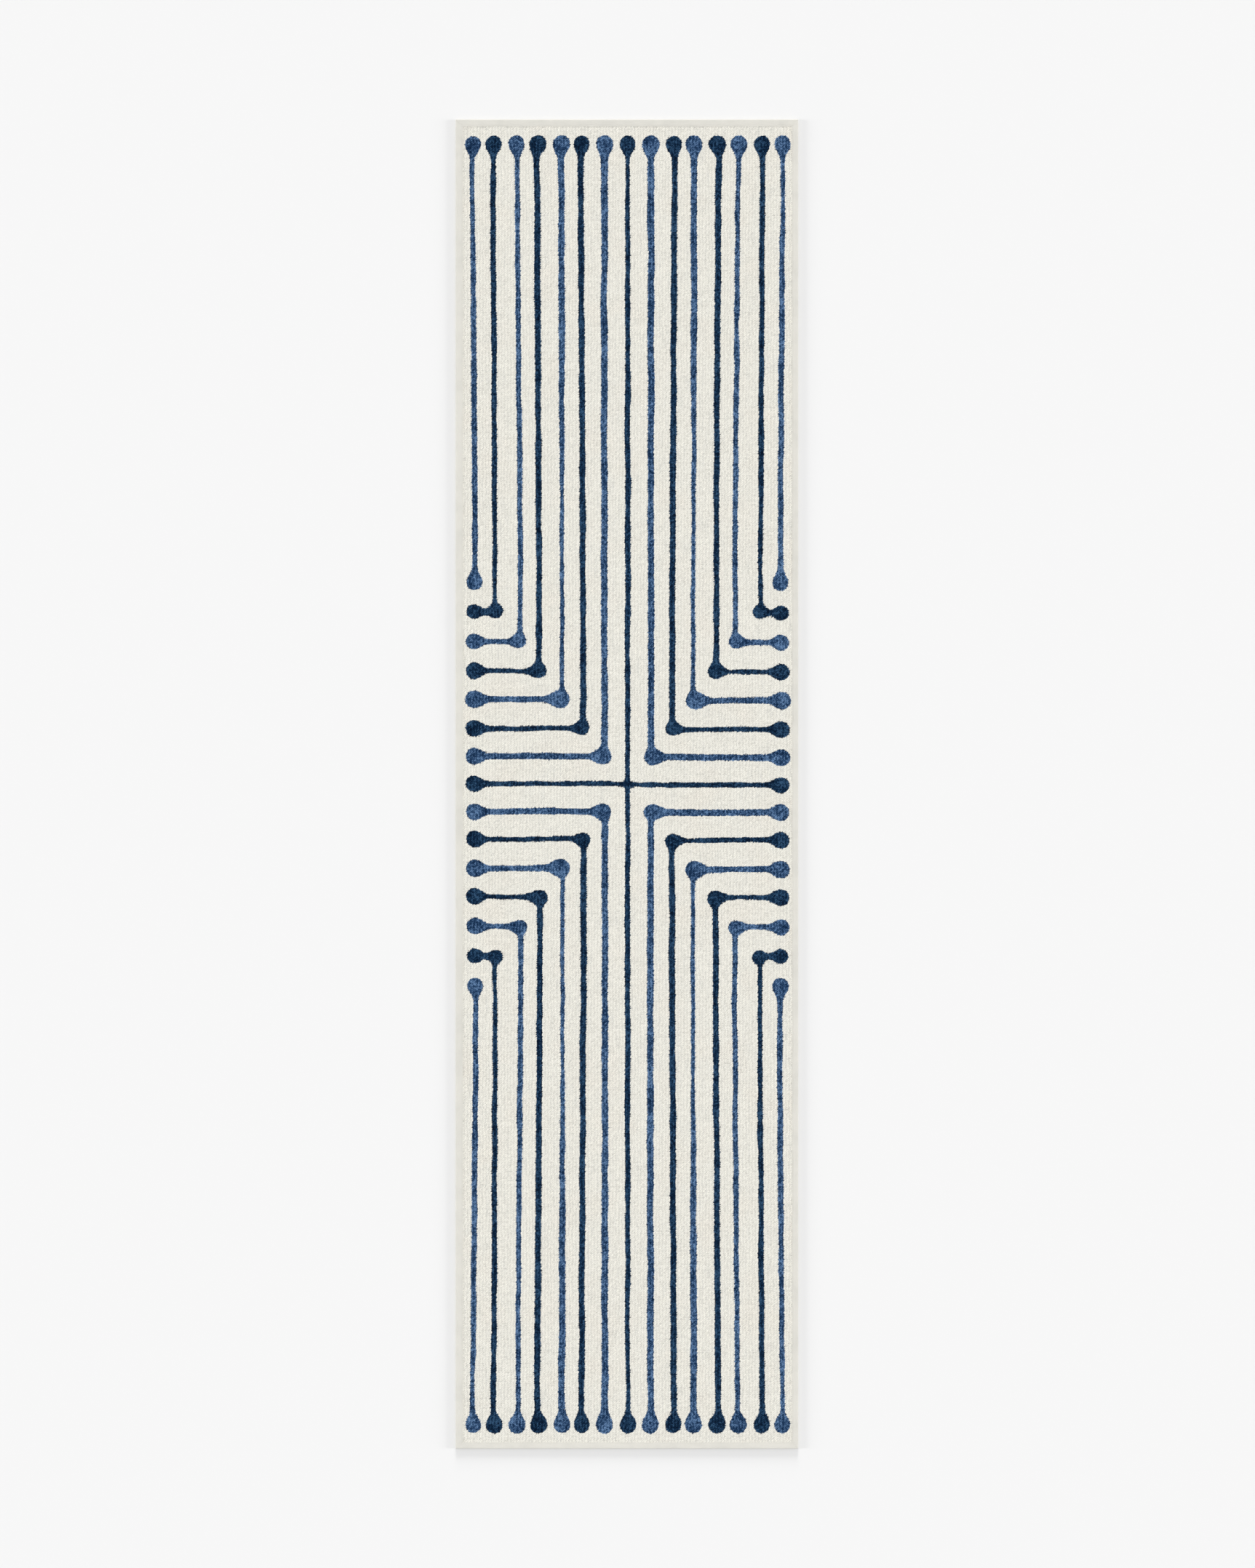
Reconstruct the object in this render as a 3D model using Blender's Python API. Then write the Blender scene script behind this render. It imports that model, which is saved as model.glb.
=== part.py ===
"""Runner rug, laid out flat: a printed face cloth over a backing cloth and a grip coat, bound all round.

Metres, +Z up. X runs across the runner, Y along it with the head end at +Y, and the origin is on the
floor under the middle of the rug. From the floor up the layers are the grip coat, the backing cloth and
the face cloth. A tape is folded over each of the four edges and lockstitched through, with the needle
thread in a channel on top of the tape and the bobbin thread in a channel underneath.
"""

import math

import bmesh
import bpy

# Outside size of the bound rug
WIDTH = 0.752
LENGTH = 2.920

# Clearance left between any two touching pieces
GAP = 0.0003

# Thickness of each layer
TAPE = 0.0010
GRIP_COAT = 0.0010
BACKING = 0.0012
FACE = 0.0022
THREAD = 0.0003

# How far each folded tape reaches in over the cloth
FLAP = {"left": 0.0160, "right": 0.0132, "head": 0.0155, "foot": 0.0140}

# Fold of the tape, and the seam that holds it
FOLD_RADIUS = 0.0014
FOLD_STEPS = 5
SEAM_FROM_FLAP_EDGE = 0.0024
CHANNEL_DEPTH = 0.0007
CHANNEL_WIDTH = THREAD + 2 * GAP
THREAD_BELOW_SURFACE = 0.0001
THREAD_SIDES = 8

# Worked-out heights above the floor
BACKING_BOTTOM = TAPE + GAP
FACE_BOTTOM = BACKING_BOTTOM + BACKING + GAP
TOP_FLAP_BOTTOM = FACE_BOTTOM + FACE + GAP
TOP = TOP_FLAP_BOTTOM + TAPE

# Each side: the unit vector in from its edge, and the sides it meets at its two ends, low end first
SIDES = {
    "left": ((1, 0), ("foot", "head")),
    "right": ((-1, 0), ("foot", "head")),
    "head": ((0, -1), ("left", "right")),
    "foot": ((0, 1), ("left", "right")),
}

MATERIALS = {
    "printed_cloth": ((0.80, 0.77, 0.70), 0.95),
    "backing_felt": ((0.62, 0.60, 0.55), 0.97),
    "grip_rubber": ((0.52, 0.50, 0.46), 0.70),
    "tape": ((0.77, 0.75, 0.69), 0.90),
    "thread": ((0.80, 0.78, 0.72), 0.60),
}


def clear_scene():
    """Removes every object the open file holds."""
    for thing in list(bpy.data.objects):
        bpy.data.objects.remove(thing, do_unlink=True)


def material(name):
    """The named finish, made once."""
    if name in bpy.data.materials:
        return bpy.data.materials[name]
    colour, roughness = MATERIALS[name]
    made = bpy.data.materials.new(name)
    made.use_nodes = True
    shader = made.node_tree.nodes["Principled BSDF"]
    shader.inputs["Base Color"].default_value = (*colour, 1.0)
    shader.inputs["Roughness"].default_value = roughness
    shader.inputs["Metallic"].default_value = 0.0
    return made


def add_object(name, shape, finish):
    """Puts a bmesh in the scene as one object, with its normals facing out."""
    bmesh.ops.recalc_face_normals(shape, faces=shape.faces)
    mesh = bpy.data.meshes.new(name)
    shape.to_mesh(mesh)
    shape.free()
    mesh.materials.append(material(finish))
    thing = bpy.data.objects.new(name, mesh)
    bpy.context.scene.collection.objects.link(thing)
    return thing


def layer(name, finish, insets, bottom, thickness):
    """A flat rectangular layer, set in from the rug's outer edge by the given amount on each side."""
    x_low, x_high = -WIDTH / 2 + insets["left"], WIDTH / 2 - insets["right"]
    y_low, y_high = -LENGTH / 2 + insets["foot"], LENGTH / 2 - insets["head"]
    corners = [(x_low, y_low), (x_high, y_low), (x_high, y_high), (x_low, y_high)]
    shape = bmesh.new()
    outline = [shape.verts.new((x, y, bottom)) for x, y in corners]
    base = shape.faces.new(outline)
    raised = bmesh.ops.extrude_face_region(shape, geom=[base])
    top = [item for item in raised["geom"] if isinstance(item, bmesh.types.BMVert)]
    bmesh.ops.translate(shape, verts=top, vec=(0, 0, thickness))
    return add_object(name, shape, finish)


def arc(centre, radius, start, end, steps):
    """Points on an arc of the (inset, height) plane, from one angle to the other, in degrees."""
    angles = [math.radians(start + (end - start) * i / steps) for i in range(steps + 1)]
    return [(centre[0] + radius * math.cos(a), centre[1] + radius * math.sin(a)) for a in angles]


def tape_profile(side):
    """Section of a folded tape as (inset, height): a flap below, the fold, and a flap above."""
    flap = FLAP[side]
    seam = flap - SEAM_FROM_FLAP_EDGE
    near, far = seam - CHANNEL_WIDTH / 2, seam + CHANNEL_WIDTH / 2
    under_fold = arc((FOLD_RADIUS, FOLD_RADIUS), FOLD_RADIUS, 180, 270, FOLD_STEPS)
    over_fold = arc((FOLD_RADIUS, TOP - FOLD_RADIUS), FOLD_RADIUS, 90, 180, FOLD_STEPS)
    under_channel = [(near, 0), (near, CHANNEL_DEPTH), (far, CHANNEL_DEPTH), (far, 0)]
    over_channel = [(x, TOP - z) for x, z in reversed(under_channel)]
    pocket = [
        (flap, 0),
        (flap, TAPE),
        (TAPE, TAPE),
        (TAPE, TOP - TAPE),
        (flap, TOP - TAPE),
        (flap, TOP),
    ]
    return under_fold + under_channel + pocket + over_channel + over_fold


def thread_profile(side, middle):
    """Round section of a sewing thread lying along the seam at the given height."""
    seam = FLAP[side] - SEAM_FROM_FLAP_EDGE
    step = 360 / THREAD_SIDES
    return arc((seam, middle), THREAD / 2, step / 2, 360 - step / 2, THREAD_SIDES - 1)


def along_edge(name, finish, side, profile, end_clearance):
    """A profile run along one edge of the rug, its ends cut on the mitre with the sides it meets."""
    (in_x, in_y), neighbours = SIDES[side]
    run_x, run_y = abs(in_y), abs(in_x)
    half_run = (WIDTH * run_x + LENGTH * run_y) / 2
    edge = (WIDTH * run_y + LENGTH * run_x) / 2
    shape = bmesh.new()
    sections = []
    for direction, neighbour in zip((-1, 1), neighbours):
        slope = FLAP[neighbour] / FLAP[side]
        section = []
        for inset, height in profile:
            out = inset - edge
            run = direction * (half_run - inset * slope - end_clearance)
            section.append(shape.verts.new((in_x * out + run_x * run, in_y * out + run_y * run, height)))
        sections.append(section)
    low, high = sections
    shape.faces.new(low)
    shape.faces.new(reversed(high))
    for i in range(len(profile)):
        after = (i + 1) % len(profile)
        shape.faces.new((low[i], high[i], high[after], low[after]))
    return add_object(name, shape, finish)


def shade_round(thing, angle):
    """Shades the thing smooth, with edges sharper than the angle, in degrees, kept sharp."""
    thing.data.shade_smooth()
    thing.data.set_sharp_from_angle(angle=math.radians(angle))


def build_layers():
    """The three cloth layers: the cut edges of the upper two run into the fold of the tape."""
    inside_fold = {side: TAPE + GAP for side in SIDES}
    inside_flap = {side: FLAP[side] + GAP for side in SIDES}
    layer("grip_coat", "grip_rubber", inside_flap, 0, GRIP_COAT)
    layer("backing_cloth", "backing_felt", inside_fold, BACKING_BOTTOM, BACKING)
    layer("face_cloth", "printed_cloth", inside_fold, FACE_BOTTOM, FACE)


def build_edges():
    """The binding tape of each side, and the needle and bobbin threads that sew it on."""
    mitre_clearance = GAP * 0.8
    bobbin_height = THREAD_BELOW_SURFACE + THREAD / 2
    for side in SIDES:
        tape = along_edge(f"binding_{side}", "tape", side, tape_profile(side), mitre_clearance)
        shade_round(tape, 30)
        for name, middle in (("needle", TOP - bobbin_height), ("bobbin", bobbin_height)):
            profile = thread_profile(side, middle)
            thread = along_edge(f"{name}_thread_{side}", "thread", side, profile, mitre_clearance + GAP)
            shade_round(thread, 50)


clear_scene()
build_layers()
build_edges()
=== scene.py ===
"""Looks of a bound runner rug, laid out flat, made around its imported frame.

The rug is a laminate: a coarse woven face cloth with a hand-drawn print in two blues, a needled backing
cloth under it, and a latex coat with raised dots that grips the floor. A fine tape is folded over each of
the four edges and sewn through with a lockstitch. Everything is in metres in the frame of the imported
model: X runs across the runner, Y along it with the head end at +Y, and the floor is at zero height.
"""

import logging
import math
from collections.abc import Callable, Iterable, Sequence
from dataclasses import dataclass
from enum import Enum

import bpy
import numpy as np
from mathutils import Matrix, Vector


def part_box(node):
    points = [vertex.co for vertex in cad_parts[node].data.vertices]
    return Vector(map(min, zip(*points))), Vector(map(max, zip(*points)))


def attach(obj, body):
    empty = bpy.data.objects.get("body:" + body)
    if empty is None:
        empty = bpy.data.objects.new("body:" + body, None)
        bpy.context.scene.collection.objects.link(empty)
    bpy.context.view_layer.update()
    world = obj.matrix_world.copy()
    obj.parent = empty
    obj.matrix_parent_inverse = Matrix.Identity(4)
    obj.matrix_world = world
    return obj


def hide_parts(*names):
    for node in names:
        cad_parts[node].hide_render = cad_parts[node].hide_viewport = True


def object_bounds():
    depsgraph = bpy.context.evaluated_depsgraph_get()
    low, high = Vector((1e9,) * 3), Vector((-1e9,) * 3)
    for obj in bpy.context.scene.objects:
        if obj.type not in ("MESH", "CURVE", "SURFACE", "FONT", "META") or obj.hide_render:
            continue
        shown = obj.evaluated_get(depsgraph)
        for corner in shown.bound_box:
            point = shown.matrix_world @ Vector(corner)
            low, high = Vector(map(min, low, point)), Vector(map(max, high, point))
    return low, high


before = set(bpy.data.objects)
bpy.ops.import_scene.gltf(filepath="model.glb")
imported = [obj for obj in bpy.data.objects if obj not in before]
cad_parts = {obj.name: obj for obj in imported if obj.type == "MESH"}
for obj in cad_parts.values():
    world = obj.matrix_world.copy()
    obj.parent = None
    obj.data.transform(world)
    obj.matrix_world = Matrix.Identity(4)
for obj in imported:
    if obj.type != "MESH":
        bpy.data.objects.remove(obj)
cad_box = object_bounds()

LOG = logging.getLogger("runner_rug")
MM = 0.001
BODY = "root"
BAKE_MAP = "OFBake"
# A face counts as facing up or down, and not sideways, when its normal is more upright than this
FACING = 0.5

Socket = bpy.types.NodeSocket
Value = float | Socket
Array = np.ndarray


# --------------------------------------------------------------------------------------------------
# Workbench: mesh operators with everything else deselected
# --------------------------------------------------------------------------------------------------


def deselect_all() -> None:
    """Leaves nothing selected, whatever mode the file was in."""
    if bpy.context.object and bpy.context.object.mode != "OBJECT":
        bpy.ops.object.mode_set(mode="OBJECT")
    bpy.ops.object.select_all(action="DESELECT")


def take(thing: bpy.types.Object) -> None:
    """Makes one object the only selected and active one.

    Args:
        thing: The object to work on.
    """
    deselect_all()
    thing.select_set(True)
    bpy.context.view_layer.objects.active = thing


def apply_modifier(thing: bpy.types.Object, kind: str, **settings: object) -> None:
    """Adds a modifier, sets it and applies it.

    Args:
        thing: The object that gets it.
        kind: The modifier's type, such as "SOLIDIFY".
        settings: Its properties by name.
    """
    take(thing)
    modifier = thing.modifiers.new(kind.lower(), kind)
    for name, value in settings.items():
        setattr(modifier, name, value)
    bpy.ops.object.modifier_apply(modifier=modifier.name)


def repeat(thing: bpy.types.Object, count: int, offset: Sequence[float]) -> None:
    """Repeats a shape along a line, each copy with its own mesh.

    Args:
        thing: The object that holds the first one.
        count: How many there are in the end.
        offset: The way from each to the next.
    """
    apply_modifier(
        thing,
        "ARRAY",
        count=count,
        use_relative_offset=False,
        use_constant_offset=True,
        constant_offset_displace=offset,
    )


def places(thing: bpy.types.Object) -> Array:
    """The places of a mesh's vertices.

    Args:
        thing: The mesh object.

    Returns:
        An array of shape (count, 3).
    """
    found = np.empty(len(thing.data.vertices) * 3, np.float32)
    thing.data.vertices.foreach_get("co", found)
    return found.reshape(-1, 3).astype(float)


def set_places(thing: bpy.types.Object, points: Array) -> None:
    """Moves every vertex of a mesh to the given places."""
    thing.data.vertices.foreach_set("co", points.astype(np.float32).ravel())
    thing.data.update()


class Fact(Enum):
    """What can be asked of a face, each named as Blender has it."""

    CENTRE = "center"
    NORMAL = "normal"


def per_face(thing: bpy.types.Object, fact: Fact) -> Array:
    """The centre or the normal of each face of a mesh.

    Args:
        thing: The mesh object.
        fact: Which of the two.

    Returns:
        An array of shape (count, 3).
    """
    polygons = thing.data.polygons
    found = np.empty(len(polygons) * 3, np.float32)
    polygons.foreach_get(fact.value, found)
    return found.reshape(-1, 3)


def select_facing(thing: bpy.types.Object, up: bool) -> None:
    """Selects the faces of a mesh that face up, or those that face down, and no other.

    Args:
        thing: The mesh object.
        up: True for the faces that face up.
    """
    height = per_face(thing, Fact.NORMAL)[:, 2]
    chosen = height > FACING if up else height < -FACING
    take(thing)
    bpy.ops.object.mode_set(mode="EDIT")
    bpy.ops.mesh.select_mode(type="FACE")
    bpy.ops.mesh.select_all(action="DESELECT")
    bpy.ops.object.mode_set(mode="OBJECT")
    thing.data.polygons.foreach_set("select", chosen)


def face_out(thing: bpy.types.Object) -> None:
    """Turns every face of a closed mesh outwards.

    Args:
        thing: The mesh object.
    """
    take(thing)
    bpy.ops.object.mode_set(mode="EDIT")
    bpy.ops.mesh.select_all(action="SELECT")
    bpy.ops.mesh.normals_make_consistent(inside=False)
    bpy.ops.object.mode_set(mode="OBJECT")


def flat_grid(
    name: str, low: Sequence[float], high: Sequence[float], cells: tuple[int, int]
) -> bpy.types.Object:
    """A flat grid between two corners, at the height of the upper one.

    Args:
        name: The object's name.
        low: Lowest corner of the space it covers.
        high: Highest corner, whose height it takes.
        cells: Number of cells along X and along Y.

    Returns:
        The new object, at the origin with its place in its mesh.
    """
    deselect_all()
    bpy.ops.mesh.primitive_grid_add(x_subdivisions=cells[0], y_subdivisions=cells[1], size=1.0)
    thing = bpy.context.object
    thing.name = thing.data.name = name
    bpy.ops.object.mode_set(mode="EDIT")
    bpy.ops.mesh.select_all(action="SELECT")
    bpy.ops.transform.resize(value=(high[0] - low[0], high[1] - low[1], 1.0))
    middle = ((low[0] + high[0]) / 2, (low[1] + high[1]) / 2, high[2])
    bpy.ops.transform.translate(value=middle)
    bpy.ops.object.mode_set(mode="OBJECT")
    return thing


def dress(thing: bpy.types.Object, material: bpy.types.Material, crease: float) -> None:
    """Shades a piece smooth, but for its creases, and gives it its one material.

    Args:
        thing: The piece.
        material: Its material.
        crease: Edges sharper than this angle, in degrees, stay sharp.
    """
    take(thing)
    bpy.ops.object.shade_smooth_by_angle(angle=math.radians(crease))
    thing.data.materials.clear()
    thing.data.materials.append(material)


def place_in_frame(thing: bpy.types.Object, nodes: Iterable[str]) -> bpy.types.Object:
    """Makes a piece part of the rug: it rides on the rug's body and stands for its CAD nodes.

    Args:
        thing: The finished piece.
        nodes: The CAD nodes that it stands for.

    Returns:
        The same piece.
    """
    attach(thing, BODY)
    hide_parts(*nodes)
    LOG.info("%s: %d faces, for %s", thing.name, len(thing.data.polygons), ", ".join(nodes))
    return thing


class SoftNoise:
    """Smooth random waves over the plane, the same ones each time."""

    # The shortest and the longest wave, as shares of the spacing
    LENGTHS = (0.7, 1.8)

    def __init__(self, seed: int, spacing: float, count: int = 24) -> None:
        """Draws the waves.

        Args:
            seed: Seed of the draw.
            spacing: The typical distance between two crests.
            count: How many waves are added up.
        """
        draw = np.random.default_rng(seed)
        angle = draw.uniform(0, 2 * math.pi, count)
        length = spacing * draw.uniform(*self.LENGTHS, count)
        self.kx = 2 * math.pi * np.cos(angle) / length
        self.ky = 2 * math.pi * np.sin(angle) / length
        self.phase = draw.uniform(0, 2 * math.pi, count)
        self.scale = math.sqrt(2.0 / count)

    def __call__(self, x: Array, y: Array) -> Array:
        """The height of the waves at some points, with a standard deviation of about one.

        Args:
            x: Places across the plane.
            y: Places along it.

        Returns:
            The height at each.
        """
        total = np.zeros(np.broadcast(x, y).shape)
        for kx, ky, phase in zip(self.kx, self.ky, self.phase):
            total += np.sin(kx * x + ky * y + phase)
        return total * self.scale


# --------------------------------------------------------------------------------------------------
# Finishes
# --------------------------------------------------------------------------------------------------


class Graph:
    """A material's nodes, written as sums: each method adds a node and gives its output."""

    def __init__(self, name: str) -> None:
        """Starts a material with its Principled shader and Object coordinates.

        Args:
            name: The material's name.
        """
        self.material = bpy.data.materials.new(name)
        self.material.use_nodes = True
        self.tree = self.material.node_tree
        self.shader = self.tree.nodes["Principled BSDF"]
        self.here = self.tree.nodes.new("ShaderNodeTexCoord").outputs["Object"]
        split = self.tree.nodes.new("ShaderNodeSeparateXYZ")
        self.tree.links.new(self.here, split.inputs[0])
        self.x, self.y, self.z = split.outputs

    def put(self, value: Value | Sequence[float], socket: Socket) -> None:
        """Links an output to an input, or sets the input to a number or a colour.

        Args:
            value: The output, or the number or colour.
            socket: The input.
        """
        if isinstance(value, Socket):
            self.tree.links.new(value, socket)
        else:
            socket.default_value = value

    def math(self, operation: str, *values: Value) -> Socket:
        """A Math node.

        Args:
            operation: What it does, such as "MULTIPLY".
            values: One to three values, as the operation needs.

        Returns:
            Its output.
        """
        node = self.tree.nodes.new("ShaderNodeMath")
        node.operation = operation
        for value, socket in zip(values, node.inputs):
            self.put(value, socket)
        return node.outputs[0]

    def add(self, a: Value, b: Value) -> Socket:
        """The sum of two values."""
        return self.math("ADD", a, b)

    def times(self, a: Value, b: Value) -> Socket:
        """The product of two values."""
        return self.math("MULTIPLY", a, b)

    def minus(self, a: Value, b: Value) -> Socket:
        """One value less another."""
        return self.math("SUBTRACT", a, b)

    def centred(self, value: Value) -> Socket:
        """A value from 0 to 1 made one from -0.5 to 0.5."""
        return self.minus(value, 0.5)

    def weigh(self, base: float, *parts: tuple[Value, float]) -> Socket:
        """A number plus some values, each times its own weight.

        Args:
            base: The number.
            parts: Each value and its weight.

        Returns:
            The sum.
        """
        total: Value = base
        for value, weight in parts:
            total = self.add(total, self.times(value, weight))
        return total

    def wave(self, turns: Value) -> Socket:
        """A cosine from 0 to 1 that peaks at whole turns."""
        return self.math("MULTIPLY_ADD", self.math("COSINE", self.times(turns, 2 * math.pi)), 0.5, 0.5)

    def hump(self, turns: Value) -> Socket:
        """A round rise that is 0 at whole turns and 1 halfway between them."""
        swing = self.math("MULTIPLY_ADD", self.math("FRACT", turns), 2.0, -1.0)
        return self.minus(1.0, self.times(swing, swing))

    def step(self, value: Value, low: float, high: float) -> Socket:
        """A smooth step from 0 at one value to 1 at another.

        Args:
            value: What is stepped.
            low: Where the step is 0.
            high: Where the step is 1. It may be below the other.

        Returns:
            The step.
        """
        node = self.tree.nodes.new("ShaderNodeMapRange")
        node.interpolation_type = "SMOOTHSTEP"
        for number, socket in zip((low, high, 0.0, 1.0), node.inputs[1:5]):
            socket.default_value = number
        if low > high:
            node.inputs[1].default_value, node.inputs[2].default_value = high, low
            node.inputs[3].default_value, node.inputs[4].default_value = 1.0, 0.0
        self.put(value, node.inputs[0])
        return node.outputs[0]

    def point(self, x: Value, y: Value) -> Socket:
        """A point of the plane as a vector.

        Args:
            x: Its place across.
            y: Its place along.

        Returns:
            The vector.
        """
        node = self.tree.nodes.new("ShaderNodeCombineXYZ")
        for value, socket in zip((x, y), node.inputs):
            self.put(value, socket)
        return node.outputs[0]

    def noise(self, vector: Socket, scale: float, detail: float = 2.0, roughness: float = 0.5) -> Socket:
        """Smooth noise of about 0 to 1.

        Args:
            vector: Where it is read.
            scale: Its lumps in a unit of the vector.
            detail: How many finer octaves are added.
            roughness: How strong each finer octave is.

        Returns:
            The noise.
        """
        node = self.tree.nodes.new("ShaderNodeTexNoise")
        node.inputs["Scale"].default_value = scale
        node.inputs["Detail"].default_value = detail
        node.inputs["Roughness"].default_value = roughness
        self.put(vector, node.inputs["Vector"])
        return node.outputs["Fac"]

    def streaks(
        self,
        scale_x: float,
        scale_y: float,
        detail: float = 2.0,
        roughness: float = 0.5,
        across: Socket | None = None,
        along: Socket | None = None,
    ) -> Socket:
        """Smooth noise whose lumps are longer one way than the other.

        Args:
            scale_x: Its lumps in a unit across.
            scale_y: Its lumps in a unit along.
            detail: How many finer octaves are added.
            roughness: How strong each finer octave is.
            across: What is read as the place across, in place of the object's own X.
            along: What is read as the place along, in place of the object's own Y.

        Returns:
            The noise.
        """
        place = self.point(self.times(across or self.x, scale_x), self.times(along or self.y, scale_y))
        return self.noise(place, 1.0, detail, roughness)

    def cell_noise(self, vector: Socket) -> Socket:
        """A number from 0 to 1 drawn afresh for each different vector.

        Args:
            vector: The vector, the same all over a cell.

        Returns:
            The number.
        """
        node = self.tree.nodes.new("ShaderNodeTexWhiteNoise")
        node.noise_dimensions = "3D"
        self.put(vector, node.inputs["Vector"])
        return node.outputs["Value"]

    def attribute(self, name: str) -> Socket:
        """A number kept on the mesh's points.

        Args:
            name: The attribute's name.

        Returns:
            The number.
        """
        node = self.tree.nodes.new("ShaderNodeAttribute")
        node.attribute_name = name
        return node.outputs["Fac"]

    def blend(self, share: Value, a: Socket | Sequence[float], b: Socket | Sequence[float]) -> Socket:
        """A blend of two colours.

        Args:
            share: How much of the second there is, from 0 to 1.
            a: The first colour.
            b: The second colour.

        Returns:
            The blend.
        """
        node = self.tree.nodes.new("ShaderNodeMix")
        node.data_type = "RGBA"
        self.put(share, node.inputs["Factor"])
        colour_inputs = [socket for socket in node.inputs if socket.type == "RGBA"]
        for colour, socket in zip((a, b), colour_inputs):
            self.put(colour if isinstance(colour, Socket) else (*colour, 1.0), socket)
        return next(socket for socket in node.outputs if socket.type == "RGBA")

    def ramp(self, value: Socket, stops: Sequence[tuple[float, Sequence[float]]]) -> Socket:
        """A colour that runs through some stops.

        Args:
            value: The place from 0 to 1.
            stops: The place and the colour of each stop.

        Returns:
            The colour.
        """
        node = self.tree.nodes.new("ShaderNodeValToRGB")
        self.put(value, node.inputs[0])
        points = node.color_ramp.elements
        while len(points) < len(stops):
            points.new(0.5)
        for point, (place, colour) in zip(points, stops):
            point.position = place
            point.color = (*colour, 1.0)
        return node.outputs[0]

    def shade(self, colour: Socket, brightness: Value) -> Socket:
        """A colour made lighter or darker.

        Args:
            colour: The colour.
            brightness: What it is multiplied by.

        Returns:
            The new colour.
        """
        node = self.tree.nodes.new("ShaderNodeVectorMath")
        node.operation = "SCALE"
        self.put(colour, node.inputs[0])
        self.put(brightness, node.inputs["Scale"])
        return node.outputs[0]

    def relief(self, height: Socket, depth: float) -> None:
        """Gives the surface a bump.

        Args:
            height: The bump's height from 0 to 1.
            depth: What a height of 1 is, in metres.
        """
        node = self.tree.nodes.new("ShaderNodeBump")
        node.inputs["Strength"].default_value = 1.0
        node.inputs["Distance"].default_value = depth
        self.put(height, node.inputs["Height"])
        self.put(node.outputs["Normal"], self.shader.inputs["Normal"])

    def finish(self, colour: Socket, roughness: Value, sheen: float, specular: float) -> bpy.types.Material:
        """Sets the shader's own sockets.

        Args:
            colour: The surface colour.
            roughness: The surface roughness.
            sheen: Weight of the pale rim that loose fibres give.
            specular: Level of the mirror-like part.

        Returns:
            The material.
        """
        self.put(colour, self.shader.inputs["Base Color"])
        self.put(roughness, self.shader.inputs["Roughness"])
        self.shader.inputs["Sheen Weight"].default_value = sheen
        self.shader.inputs["Sheen Roughness"].default_value = 0.6
        self.shader.inputs["Specular IOR Level"].default_value = specular
        return self.material


class Tone(Enum):
    """The two inks of the print, each named for the point attribute that holds its distance field."""

    INDIGO = "indigo_mm"
    NAVY = "navy_mm"


@dataclass(frozen=True)
class Ink:
    """A dye that took unevenly, from its deepest to its palest colour."""

    deep: tuple[float, float, float]
    body: tuple[float, float, float]
    pale: tuple[float, float, float]


@dataclass(frozen=True)
class Weave:
    """The parts of the weave's pattern, each a node output from 0 to 1."""

    # Crests of the lengthwise ribs, of the two strands in each, of the twill line, and of the picks
    rib: Socket
    strand: Socket
    slant: Socket
    pick: Socket
    # The rounded back of each float, and a number drawn afresh for each that fades out at its borders
    crown: Socket
    lot: Socket
    # The fibres along a float, loose fibres, and slow change over the cloth
    fibre: Socket
    fuzz: Socket
    drift: Socket


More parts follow.
